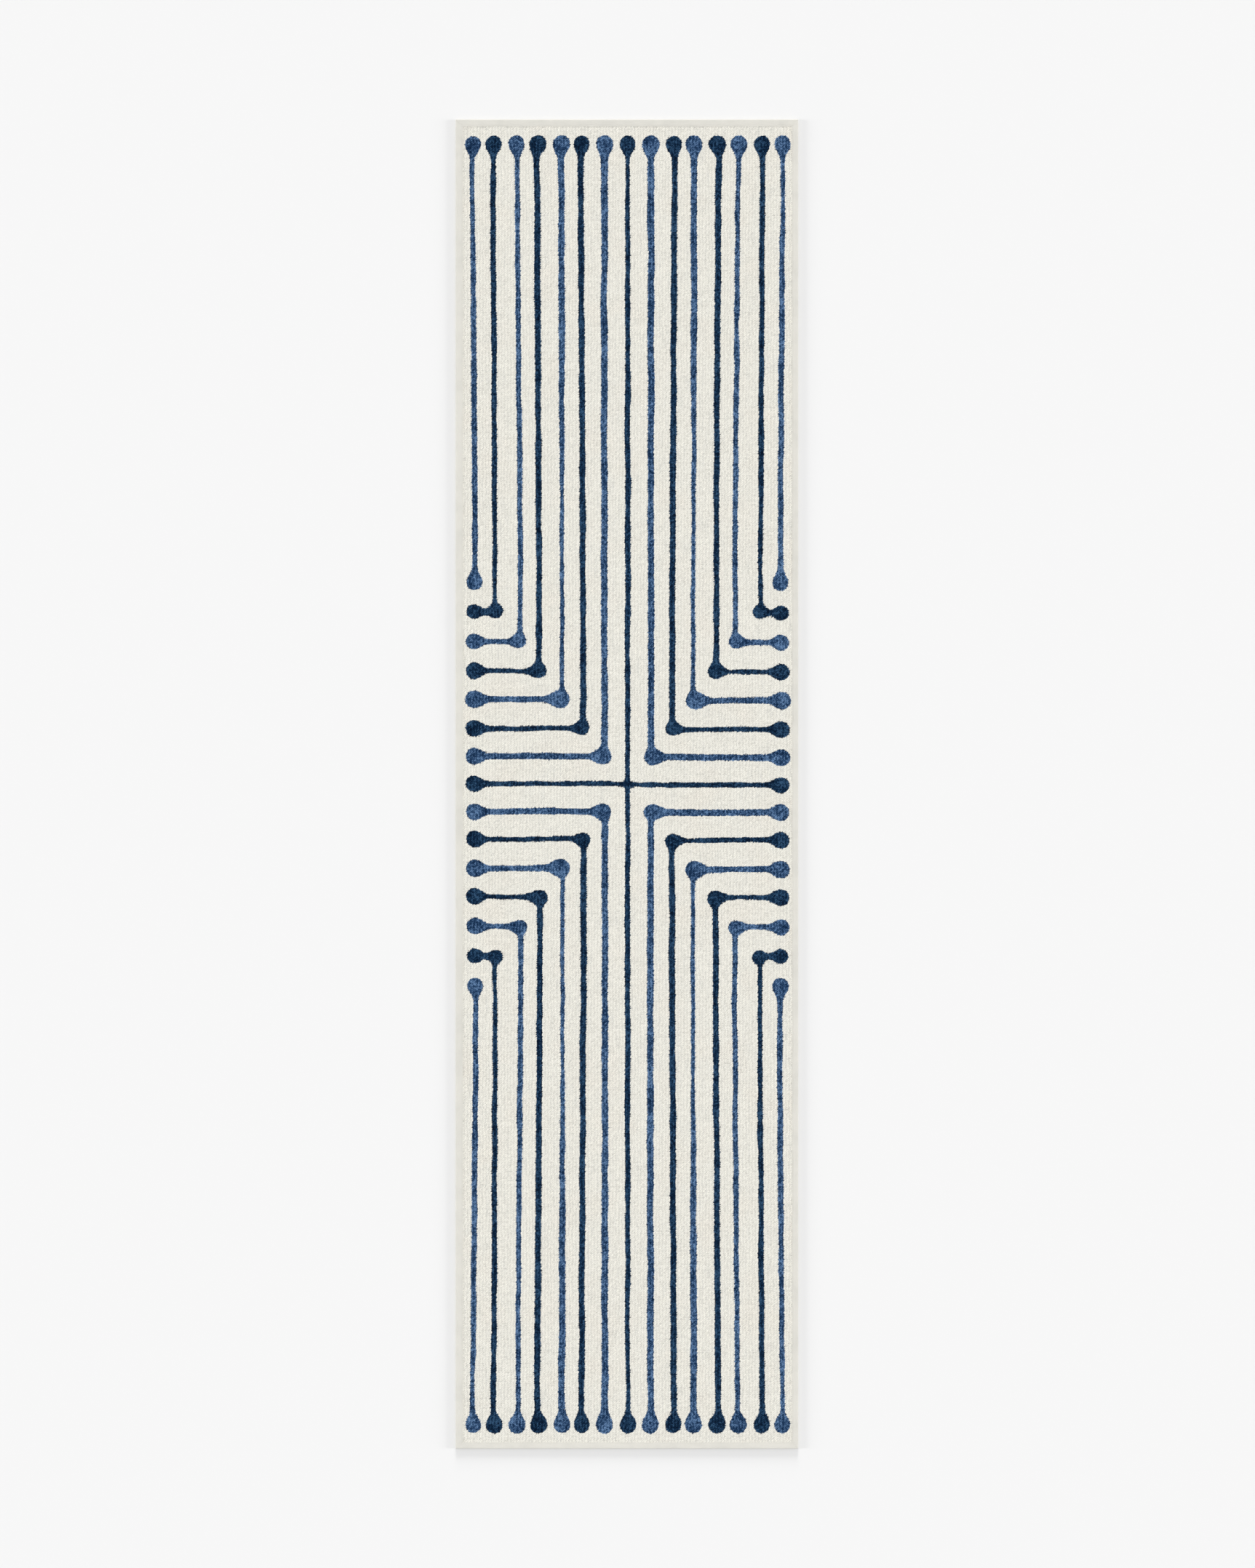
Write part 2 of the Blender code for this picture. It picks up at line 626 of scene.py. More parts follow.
@dataclass(frozen=True)
class PrintedCloth:
    """The face cloth: coarse ribs of slanted floats in natural yarn, printed in two blues."""

    yarn: tuple[float, float, float] = (0.755, 0.738, 0.672)
    grey_yarn: tuple[float, float, float] = (0.690, 0.680, 0.628)
    warm_yarn: tuple[float, float, float] = (0.745, 0.712, 0.640)
    relief: float = 0.28 * MM
    # Pitches of the weave: its ribs across the runner, its picks along it, and its twill line each way
    rib_pitch: float = 6.8 * MM
    pick_pitch: float = 4.85 * MM
    twill_across: float = 5.3 * MM
    twill_along: float = 4.7 * MM
    # How far a float leans over within its pick, in floats
    float_slant: float = 0.7
    # How far the yarns fray an ink's edge, how far it soaks along loose fibres, and how soft it is, in mm
    ragged: float = 1.65
    soak: float = 4.125
    edge: float = 0.50
    inks: tuple[tuple[Tone, Ink], ...] = (
        (Tone.INDIGO, Ink((0.002, 0.012, 0.038), (0.0190, 0.0510, 0.119), (0.115, 0.205, 0.360))),
        (Tone.NAVY, Ink((0.0005, 0.004, 0.014), (0.0030, 0.0170, 0.045), (0.030, 0.076, 0.148))),
    )

    def material(self) -> bpy.types.Material:
        """Makes the material: the weave first, then the inks over it.

        Returns:
            The material.
        """
        g = Graph("printed_weave")
        weave = self.weave(g)
        colour = self.ground(g, weave)
        for tone, ink in self.inks:
            colour = g.blend(self.mask(g, tone, weave), colour, self.dye(g, ink, weave))
        height = g.weigh(
            0.0,
            (weave.rib, 0.20),
            (weave.slant, 0.20),
            (weave.crown, 0.30),
            (weave.fibre, 0.15),
            (weave.fuzz, 0.20),
        )
        g.relief(height, self.relief)
        return g.finish(colour, roughness=0.95, sheen=0.01, specular=0.03)

    def weave(self, g: Graph) -> Weave:
        """The weave's pattern, with yarns that wander a little from their places.

        Args:
            g: The node graph.

        Returns:
            Its parts.
        """
        stray = g.centred(g.noise(g.here, 26.0, detail=1.0))
        waver = g.centred(g.noise(g.here, 70.0, detail=1.0))
        across = g.add(g.times(g.x, 1 / self.rib_pitch), g.times(stray, 0.8))
        along = g.add(g.times(g.y, 1 / self.pick_pitch), g.times(waver, 0.9))
        slope = g.minus(g.times(g.x, 1 / self.twill_across), g.times(g.y, 1 / self.twill_along))
        lie = g.times(g.centred(g.math("FRACT", along)), self.float_slant)
        strand = g.minus(g.times(across, 2.0), lie)
        crown = g.times(g.hump(strand), g.hump(along))
        drawn = g.cell_noise(g.point(g.math("FLOOR", strand), g.math("FLOOR", along)))
        return Weave(
            rib=g.wave(across),
            strand=g.wave(g.times(across, 2.0)),
            slant=g.wave(g.add(slope, g.times(waver, 0.9))),
            pick=g.wave(along),
            crown=crown,
            lot=g.math("MULTIPLY_ADD", g.times(g.centred(drawn), 1.8), crown, 0.5),
            fibre=g.streaks(8.0, 1.6, 2.0, 0.6, across=strand, along=along),
            fuzz=g.streaks(450.0, 520.0, 1.0, 0.6),
            drift=g.noise(g.here, 9.0),
        )

    def ground(self, g: Graph, weave: Weave) -> Socket:
        """Colour of the unprinted cloth: yarn tones that vary at random, with painted light on the crests
        of the weave and painted shade in its valleys and gaps.

        Args:
            g: The node graph.
            weave: The weave's pattern.

        Returns:
            The colour.
        """
        slub = g.streaks(210.0, 22.0)
        streak = g.streaks(14.0, 160.0)
        colour = g.blend(g.step(slub, 0.45, 0.80), self.yarn, self.grey_yarn)
        colour = g.blend(g.times(g.step(weave.drift, 0.45, 0.75), 0.7), colour, self.warm_yarn)
        # Brightness: random tone from the floats, fibres, loose fuzz and streaks, with painted light on the
        # crests of the ribs, picks, floats and twill line and painted shade between them
        light = g.weigh(
            0.767,
            (weave.rib, 0.045),
            (g.times(weave.rib, weave.pick), 0.105),
            (weave.crown, 0.085),
            (g.centred(weave.fibre), 0.20),
            (weave.slant, 0.110),
            (g.centred(weave.lot), 0.20),
            (g.centred(weave.fuzz), 0.92),
            (g.centred(streak), 0.12),
        )
        # Painted shade: darker specks in the gaps between floats, where the weave's recesses lie in shadow
        painted_gap_shade = g.times(g.step(weave.lot, 0.75, 0.95), g.step(weave.slant, 0.60, 0.15))
        return g.shade(colour, g.minus(light, g.times(painted_gap_shade, 0.20)))

    def mask(self, g: Graph, tone: Tone, weave: Weave) -> Socket:
        """Where an ink lies: its distance field, with an edge that follows the yarns.

        Args:
            g: The node graph.
            tone: Which ink.
            weave: The weave's pattern.

        Returns:
            1 under the ink, and 0 away from it.
        """
        fray = g.weigh(
            0.0,
            (g.centred(weave.lot), self.ragged),
            (g.centred(weave.pick), 0.5 * self.ragged),
            (g.centred(weave.fuzz), self.soak),
        )
        return g.step(g.add(g.attribute(tone.value), fray), self.edge, -self.edge)

    def dye(self, g: Graph, ink: Ink, weave: Weave) -> Socket:
        """Colour of an inked yarn: the ink takes unevenly and pools in slow patches, and the crests of the
        weave are painted paler as painted light.

        Args:
            g: The node graph.
            ink: The ink.
            weave: The weave's pattern.

        Returns:
            The colour.
        """
        mottle = g.noise(g.here, 290.0, 1.5, 0.6)
        pool = g.noise(g.here, 34.0)
        # How pale the ink is: uneven take-up and pooling, with painted light that makes the crests of the
        # ribs, strands and twill line paler
        take_up_and_crest_light = g.weigh(
            0.5,
            (g.centred(mottle), 2.3),
            (g.centred(weave.lot), 0.35),
            (g.centred(weave.slant), 0.30),
            (g.centred(weave.rib), 0.20),
            (g.centred(weave.strand), 0.28),
            (g.centred(weave.fibre), 0.55),
            (g.centred(pool), 1.1),
        )
        return g.ramp(take_up_and_crest_light, ((0.0, ink.deep), (0.5, ink.body), (1.0, ink.pale)))


@dataclass(frozen=True)
class TapeCloth:
    """The binding tape: a fine plain weave, almost smooth, in the cloth's own colour."""

    colour: tuple[float, float, float] = (0.672, 0.657, 0.604)
    worn: tuple[float, float, float] = (0.628, 0.616, 0.567)
    thread_pitch: float = 0.55 * MM
    relief: float = 0.06 * MM

    def material(self) -> bpy.types.Material:
        """Makes the material.

        Returns:
            The material.
        """
        g = Graph("binding_tape")
        across = g.wave(g.times(g.x, 1 / self.thread_pitch))
        along = g.wave(g.times(g.y, 1 / self.thread_pitch))
        height = g.times(g.add(across, along), 0.5)
        cloud = g.noise(g.here, 26.0, 3.0)
        fleck = g.noise(g.here, 900.0)
        colour = g.blend(g.step(cloud, 0.35, 0.75), self.colour, self.worn)
        # Brightness: random flecks, with painted light on the crests of the threads and painted shade in
        # the hollows between them
        light = g.weigh(0.96, (height, 0.04), (g.centred(fleck), 0.10))
        g.relief(height, self.relief)
        return g.finish(g.shade(colour, light), roughness=0.9, sheen=0.05, specular=0.15)


@dataclass(frozen=True)
class SewingThread:
    """Twisted thread matched to the tape."""

    colour: tuple[float, float, float] = (0.760, 0.745, 0.690)
    shadow: tuple[float, float, float] = (0.620, 0.605, 0.550)
    ply: float = 0.45 * MM
    relief: float = 0.05 * MM

    def material(self) -> bpy.types.Material:
        """Makes the material: its plies run slantwise round it.

        Returns:
            The material.
        """
        g = Graph("sewing_thread")
        slant = g.wave(g.times(g.add(g.add(g.x, g.y), g.z), 1 / self.ply))
        fuzz = g.noise(g.here, 1400.0)
        colour = g.blend(g.times(slant, 0.7), self.shadow, self.colour)
        g.relief(slant, self.relief)
        light = g.weigh(0.93, (fuzz, 0.14))
        return g.finish(g.shade(colour, light), roughness=0.55, sheen=0.1, specular=0.3)


@dataclass(frozen=True)
class NeedledFelt:
    """The backing: short fibres needled into a dense mat."""

    colour: tuple[float, float, float] = (0.500, 0.475, 0.415)
    fibre: tuple[float, float, float] = (0.640, 0.615, 0.550)
    relief: float = 0.2 * MM

    def material(self) -> bpy.types.Material:
        """Makes the material.

        Returns:
            The material.
        """
        g = Graph("needled_felt")
        fibres = g.math("MAXIMUM", g.streaks(260.0, 1300.0), g.streaks(1300.0, 260.0))
        colour = g.blend(g.step(fibres, 0.45, 0.75), self.colour, self.fibre)
        g.relief(fibres, self.relief)
        return g.finish(colour, roughness=0.97, sheen=0.15, specular=0.05)


@dataclass(frozen=True)
class LatexCoat:
    """The grip coat: matt latex, wiped on and slightly yellowed."""

    colour: tuple[float, float, float] = (0.520, 0.490, 0.420)
    thin: tuple[float, float, float] = (0.450, 0.425, 0.365)
    relief: float = 0.15 * MM

    def material(self) -> bpy.types.Material:
        """Makes the material: drag marks along the runner, and fine pitting.

        Returns:
            The material.
        """
        g = Graph("latex_coat")
        drag = g.streaks(90.0, 6.0, detail=3.0)
        pits = g.noise(g.here, 700.0)
        colour = g.blend(g.step(drag, 0.3, 0.75), self.colour, self.thin)
        g.relief(g.weigh(0.0, (drag, 0.6), (pits, 0.4)), self.relief)
        light = g.weigh(0.95, (pits, 0.1))
        return g.finish(g.shade(colour, light), roughness=0.62, sheen=0.0, specular=0.4)


def shared(name: str, make: Callable[[], bpy.types.Material]) -> bpy.types.Material:
    """The material of that name, made on first use."""
    return bpy.data.materials.get(name) or make()


# --------------------------------------------------------------------------------------------------
# The print
# --------------------------------------------------------------------------------------------------


def melt(a: Array, b: Array, reach: float) -> Array:
    """Joins two distance fields with a fillet, as wet ink runs together.

    Args:
        a: One distance field.
        b: The other.
        reach: How far the fillet reaches.

    Returns:
        The joined field.
    """
    overlap = np.maximum(reach - np.abs(a - b), 0.0) / reach
    return np.minimum(a, b) - overlap * overlap * reach / 4


@dataclass(frozen=True)
class Column:
    """One lengthwise line of the print. Distances and widths are in millimetres.

    The same line is drawn on both sides of the rug and towards both ends. It runs from a bead near the
    end of the rug to its own row near the middle, bends there, and runs out to a bead at the side edge.
    """

    tone: Tone
    # Distance from the centre line at the bend, and near the end of the rug
    at_bend: float
    at_end: float
    # How far from the rug's middle its row lies
    row: float
    # Line widths at even steps from the end bead to the bend
    widths: tuple[float, float, float, float]
    # Radius of the bead near the end
    end_bead: float
    # Width of the row, and radii of the beads at the bend and at the side edge, 0 where there is none
    row_width: float = 0.0
    bend_bead: float = 0.0
    edge_bead: float = 0.0
    # How far outwards of its line the bead sits near the end, and at the bend
    end_out: float = 0.0
    bend_out: float = 0.0
    # How far the bead at the bend sits from its row, towards the end
    bend_up: float = 0.0


@dataclass(frozen=True)
class NestedPrint:
    """The print: nested bent lines in two inks that alternate, about a cross of two full lines.

    Sizes are in millimetres, as they are in each column.
    """

    # How far the middle of the print lies from the middle of the rug
    centre_x: float = 1.8
    centre_y: float = -0.8
    # The rows of the right side were drawn a little lower than those of the left. The change comes over
    # the first distance from the centre line, and dies away over the second towards the ends
    lean: float = 1.3
    lean_over: float = 40.0
    lean_reach: float = 900.0
    # The lines of the foot end were drawn a little closer together, from these distances out on
    foot_draw_in: float = 1.1
    draw_in_along: float = 60.0
    draw_in_across: float = 50.0
    # The share of each line, from its bend, that runs straight before the lines spread
    straight: float = 0.2
    end_bead_from_middle: float = 1407.0
    edge_bead_from_middle: float = 338.0
    # Reach of the taper from a bead into its line, and of the fillets at a bend and at the crossing
    bead_run: float = 20.0
    bend_run: float = 21.0
    fillet: float = 9.0
    # The hand's long and short waves with the size of each, and slow swelling of the ink's edge
    sway_spacing: float = 160.0
    sway: float = 0.48
    shake_spacing: float = 34.0
    shake: float = 0.21
    swell_spacing: float = 60.0
    swell: float = 0.35
    # Distances past this one are all alike
    far: float = 40.0
    columns: tuple[Column, ...] = (
        Column(
            Tone.INDIGO,
            at_bend=335.5, at_end=341.5, row=442.5, widths=(9.8, 12.2, 12.8, 12.0),
            end_bead=17.2, bend_bead=17.0,
            end_out=-1.5, bend_out=0.8, bend_up=0.8,
        ),
        Column(
            Tone.NAVY,
            at_bend=292.0, at_end=296.0, row=378.0, widths=(12.6, 12.2, 12.0, 9.8),
            row_width=9.0, end_bead=17.4, bend_bead=14.2, edge_bead=15.8,
            end_out=-1.0, bend_out=-4.0, bend_up=2.7,
        ),
        Column(
            Tone.INDIGO,
            at_bend=236.0, at_end=243.0, row=312.5, widths=(10.8, 11.3, 12.0, 11.3),
            row_width=12.0, end_bead=18.6, bend_bead=14.2, edge_bead=17.0,
            end_out=1.5, bend_out=2.5, bend_up=3.0,
        ),
        Column(
            Tone.NAVY,
            at_bend=194.5, at_end=200.3, row=248.0, widths=(14.0, 13.6, 13.0, 13.2),
            row_width=11.0, end_bead=18.4, bend_bead=16.6, edge_bead=17.7,
            end_out=-4.5, bend_out=-0.5, bend_up=1.9,
        ),
        Column(
            Tone.INDIGO,
            at_bend=144.3, at_end=146.0, row=185.5, widths=(14.6, 14.4, 9.0, 10.4),
            row_width=13.5, end_bead=17.8, bend_bead=19.0, edge_bead=19.2,
            end_out=-1.0, bend_out=4.5, bend_up=0.8,
        ),
        Column(
            Tone.NAVY,
            at_bend=98.0, at_end=103.0, row=121.5, widths=(13.6, 13.6, 13.8, 13.8),
            row_width=11.5, end_bead=16.8, bend_bead=14.2, edge_bead=17.8,
            end_out=-2.5, bend_out=1.5, bend_up=2.7,
        ),
        Column(
            Tone.INDIGO,
            at_bend=51.0, at_end=51.0, row=60.6, widths=(15.4, 14.6, 14.2, 14.6),
            row_width=14.0, end_bead=18.2, bend_bead=17.0, edge_bead=17.6,
            end_out=-0.5, bend_out=4.5, bend_up=0.6,
        ),
        Column(
            Tone.NAVY,
            at_bend=0.0, at_end=0.0, row=0.0, widths=(10.0, 11.8, 13.0, 10.8),
            row_width=11.5, end_bead=17.8, edge_bead=17.1,
        ),
    )

    def fields(self, x: Array, y: Array) -> dict[Tone, Array]:
        """Distance from each ink's edge at some points, in millimetres and below zero under the ink.

        Args:
            x: Places across the rug, in millimetres.
            y: Places along the rug, in millimetres.

        Returns:
            The distance field of each tone.
        """
        across = x - self.centre_x + self.hand(11, x, y)
        along = y - self.centre_y + self.hand(13, x, y)
        along += self.lean * np.tanh(across / self.lean_over) * np.exp(-((y / self.lean_reach) ** 2))
        foot_share = np.clip(-along / self.draw_in_along, 0, 1)
        out_share = np.clip(np.abs(across) / self.draw_in_across, 0, 1)
        out = np.abs(across) + self.foot_draw_in * foot_share * out_share
        up = np.abs(along)
        found = {tone: np.full(x.shape, self.far) for tone in Tone}
        for column in self.columns:
            found[column.tone] = np.minimum(found[column.tone], self.stroke(column, out, up))
        swell = self.swell * SoftNoise(15, self.swell_spacing)(x, y)
        return {tone: np.clip(field + swell, -self.far, self.far) for tone, field in found.items()}

    def hand(self, seed: int, x: Array, y: Array) -> Array:
        """How far the drawing hand strays one way, in long and short waves.

        Args:
            seed: Seed of the long waves. The short ones have the next.
            x: Places across the rug.
            y: Places along the rug.

        Returns:
            The stray at each place.
        """
        long_waves = SoftNoise(seed, self.sway_spacing)(x, y)
        short_waves = SoftNoise(seed + 1, self.shake_spacing)(x, y)
        return self.sway * long_waves + self.shake * short_waves

    def stroke(self, column: Column, out: Array, up: Array) -> Array:
        """Distance from the ink of one column and its row.

        Args:
            column: The column.
            out: Distance from the centre line across the rug.
            up: Distance from the middle of the rug along it.

        Returns:
            The distance field.
        """
        row, end, edge = column.row, self.end_bead_from_middle, self.edge_bead_from_middle
        share = np.clip((up - row) / (end - row), 0, 1)
        spread = np.clip((share - self.straight) / (1 - self.straight), 0, 1)
        centre = column.at_bend + (column.at_end - column.at_bend) * spread
        width = np.interp(1 - share, np.linspace(0, 1, len(column.widths)), column.widths)
        past = np.maximum(np.maximum(row - up, up - end), 0)
        line = np.hypot(out - centre, past) - width / 2
        bead = np.hypot(out - column.at_end - column.end_out, up - end) - column.end_bead
        line = melt(line, bead, self.bead_run)
        pool_out, pool_up = column.at_bend + column.bend_out, row + column.bend_up
        pool = np.hypot(out - pool_out, up - pool_up) - column.bend_bead
        if not column.row_width:
            return melt(line, pool, self.bead_run)
        beyond = np.maximum(np.maximum(column.at_bend - out, out - edge), 0)
        rung = np.hypot(up - row, beyond) - column.row_width / 2
        rung = melt(rung, np.hypot(out - edge, up - row) - column.edge_bead, self.bead_run)
        if not column.bend_bead:
            return melt(line, rung, self.fillet)
        return melt(line, melt(rung, pool, self.bend_run), self.fillet)


# --------------------------------------------------------------------------------------------------
# The cloths
# --------------------------------------------------------------------------------------------------


@dataclass
class FaceCloth:
    """The printed face cloth, one sheet whose cut edges run into the fold of the tape."""

    node: str = "face_cloth"
    # Coarse cells of the underside, and how finely the top is cut within each
    cells: tuple[int, int] = (28, 70)
    cuts: int = 6
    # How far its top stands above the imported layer, to meet the flaps of the tape
    loft: float = 0.58 * MM
    # How far the surface swells and sinks where the weave is slacker, over which two spacings, and the
    # share of the longer one
    slack: float = 0.10 * MM
    long_wave: float = 0.16
    short_wave: float = 0.045
    long_share: float = 0.6
    # The deepest it sinks and the highest it swells, in slacks
    swell_limits: tuple[float, float] = (-1.5, 1.0)

    def build(self) -> bpy.types.Object:
        """Makes the sheet, prints it and dresses it.

        Returns:
            The finished piece.
        """
        low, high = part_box(self.node)
        high.z += self.loft
        thing = flat_grid("printed_face", low, high, self.cells)
        apply_modifier(thing, "SOLIDIFY", thickness=high.z - low.z, offset=-1.0)
        select_facing(thing, up=True)
        bpy.ops.object.mode_set(mode="EDIT")
        bpy.ops.mesh.subdivide(number_cuts=self.cuts, ngon=True)
        bpy.ops.object.mode_set(mode="OBJECT")
        self.settle(thing, high.z)
        self.print_on(thing)
        self.lay_out_map(thing, low, high)
        dress(thing, PrintedCloth().material(), crease=40)
        return place_in_frame(thing, [self.node])

    def settle(self, thing: bpy.types.Object, top: float) -> None:
        """Lets the top surface swell and sink a little, in long waves and short ones.

        Args:
            thing: The cloth.
            top: Height of its flat top.
        """
        points = places(thing)
        on_top = points[:, 2] > top - self.slack
        x, y = points[on_top, 0], points[on_top, 1]
        long_swell, short_swell = SoftNoise(21, self.long_wave)(x, y), SoftNoise(22, self.short_wave)(x, y)
        swell = self.long_share * long_swell + (1 - self.long_share) * short_swell
        points[on_top, 2] = top - self.slack + self.slack * np.clip(swell, *self.swell_limits)
        set_places(thing, points)

    def print_on(self, thing: bpy.types.Object) -> None:
        """Keeps each ink's distance field on the points of the cloth.

        Args:
            thing: The cloth.
        """
        points = places(thing) / MM
        for tone, field in NestedPrint().fields(points[:, 0], points[:, 1]).items():
            kept = thing.data.attributes.new(tone.value, "FLOAT", "POINT")
            kept.data.foreach_set("value", field.astype(np.float32))

    def lay_out_map(self, thing: bpy.types.Object, low: Sequence[float], high: Sequence[float]) -> None:
        """Unwraps the cloth in two halves side by side, with its underside squeezed into a strip.

        Args:
            thing: The cloth.
            low: Its lowest corner.
            high: Its highest corner.
        """
        mesh = thing.data
        # Shares of the map: the two halves, the bare margin, and the narrow strips on their right
        half_width, tall, margin = 0.470, 0.984, 0.008
        strip = 2 * (half_width + margin) + margin
        under_width, side_from, side_width = 0.016, 0.020, 0.006
        end_length, end_step = 0.20, 0.25
        side_length, side_start = 0.48, 0.50
        corner_vertex = np.empty(len(mesh.loops), np.int32)
        mesh.loops.foreach_get("vertex_index", corner_vertex)
        sizes = np.empty(len(mesh.polygons), np.int32)
        mesh.polygons.foreach_get("loop_total", sizes)
        normals = per_face(thing, Fact.NORMAL)
        upper = np.repeat(per_face(thing, Fact.CENTRE)[:, 1] > (low[1] + high[1]) / 2, sizes)
        facing = np.repeat(normals[:, 2], sizes)
        at_end = np.repeat(np.abs(normals[:, 1]) > FACING, sizes)
        spot = places(thing)[corner_vertex]
        across = (spot[:, 0] - low[0]) / (high[0] - low[0])
        along = (spot[:, 1] - low[1]) / (high[1] - low[1])
        deep = (high[2] - spot[:, 2]) / (high[2] - low[2])
        u = margin + across * half_width + upper * (half_width + margin)
        v = margin + (2 * along - upper) * tall
        under = facing < -FACING
        u[under] = (strip + across * under_width)[under]
        v[under] = (margin + along * tall)[under]
        side = np.abs(facing) <= FACING
        run = np.where(at_end, across * end_length + end_step * upper, side_start + along * side_length)
        u[side] = (strip + side_from + deep * side_width)[side]
        v[side] = (margin + run * tall)[side]
        uv = mesh.uv_layers.new(name=BAKE_MAP)
        uv.data.foreach_set("uv", np.stack([u, v], axis=1).astype(np.float32).ravel())


@dataclass
class BackingMat:
    """The needled backing cloth, bonded under the face and closed in by the tape."""

    node: str = "backing_cloth"
    cells: tuple[int, int] = (30, 116)
    # How far its top swells and sinks each way, and over what spacing
    loft: float = 0.10 * MM
    wave: float = 0.12

    def build(self) -> bpy.types.Object:
        """Makes the mat and dresses it.

        Returns:
            The finished piece.
        """
        low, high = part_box(self.node)
        thing = flat_grid("backing_mat", low, high, self.cells)
        points = places(thing)
        swell = SoftNoise(31, self.wave)(points[:, 0], points[:, 1])
        points[:, 2] -= self.loft * (1 + np.clip(swell, -1, 1))
        set_places(thing, points)
        apply_modifier(thing, "SOLIDIFY", thickness=high.z - low.z - 2 * self.loft, offset=-1.0)
        dress(thing, NeedledFelt().material(), crease=40)
        return place_in_frame(thing, [self.node])


@dataclass
class GripCoat:
    """The latex coat: a thin skin with rows of raised dots that stand on the floor."""

    node: str = "grip_coat"
    skin: float = 0.5 * MM
    dot_pitch: float = 24 * MM
    dot_radius: float = 3.2 * MM
    dot_sides: int = 8
    # A dot's width at its foot as a share of that at its root, and the width of the rim round its flat
    dot_taper: float = 0.86
    dot_rim: float = 0.8 * MM
    cells: tuple[int, int] = (24, 96)

    def build(self) -> bpy.types.Object:
        """Makes the skin and its dots as one piece and dresses it.

        Returns:
            The finished piece.
        """
        low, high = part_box(self.node)
        thing = flat_grid("grip_dots", low, high, self.cells)
        apply_modifier(thing, "SOLIDIFY", thickness=self.skin, offset=-1.0)
        dots = self.dots(low, high)
        take(thing)
        dots.select_set(True)
        bpy.ops.object.join()
        dress(thing, LatexCoat().material(), crease=40)
        return place_in_frame(thing, [self.node])

    def dots(self, low: Sequence[float], high: Sequence[float]) -> bpy.types.Object:
        """One dot, arrayed over the underside.

        Args:
            low: Lowest corner of the coat.
            high: Highest corner of the coat.

        Returns:
            All the dots as one object.
        """
        columns = int((high[0] - low[0]) / self.dot_pitch)
        rows = int((high[1] - low[1]) / self.dot_pitch)
        start_x = (low[0] + high[0]) / 2 - (columns - 1) * self.dot_pitch / 2
        start_y = (low[1] + high[1]) / 2 - (rows - 1) * self.dot_pitch / 2
        floor, root = low[2], high[2] - self.skin / 2
        deselect_all()
        bpy.ops.mesh.primitive_cylinder_add(
            vertices=self.dot_sides,
            radius=self.dot_radius,
            depth=root - floor,
            end_fill_type="NGON",
            location=(start_x, start_y, (floor + root) / 2),
        )
        dot = bpy.context.object
        bpy.ops.object.transform_apply(location=True, rotation=False, scale=False)
        select_facing(dot, up=False)
        bpy.ops.object.mode_set(mode="EDIT")
        narrower = (self.dot_taper, self.dot_taper, 1.0)
        bpy.ops.transform.resize(value=narrower, center_override=(start_x, start_y, floor))
        bpy.ops.mesh.inset(thickness=self.dot_rim, depth=0.0)
        bpy.ops.object.mode_set(mode="OBJECT")
        repeat(dot, columns, (self.dot_pitch, 0, 0))
        repeat(dot, rows, (0, self.dot_pitch, 0))
        return dot


# --------------------------------------------------------------------------------------------------
# The bound edges
# --------------------------------------------------------------------------------------------------


class Side(Enum):
    """The four edges, each with its direction inwards and its neighbours at its low and high end."""

    LEFT = ("left", (1, 0), ("foot", "head"))
    RIGHT = ("right", (-1, 0), ("foot", "head"))
    HEAD = ("head", (0, -1), ("left", "right"))
    FOOT = ("foot", (0, 1), ("left", "right"))

    def __init__(self, label: str, inward: tuple[int, int], neighbours: tuple[str, str]) -> None:
        """Keeps the three values under their own names.

        Args:
            label: The side's name, as the CAD nodes have it.
            inward: The direction in from the edge, along X and along Y.
            neighbours: The sides it meets, the one at its low end first.
        """
        self.label = label
        self.inward = inward
        self.neighbours = neighbours


class Row(Enum):
    """The two threads of a lockstitch, each named as the CAD nodes have it."""

    NEEDLE = "needle"
    BOBBIN = "bobbin"


def flap_width(label: str) -> float:
    """How far the tape of one side reaches in over the cloth, from its CAD box."""
    low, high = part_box(f"binding_{label}")
    return min(high.x - low.x, high.y - low.y)


def cad_half(axis: int) -> float:
    """Half of the whole rug's size along an axis."""
    low, high = cad_box
    return (high[axis] - low[axis]) / 2


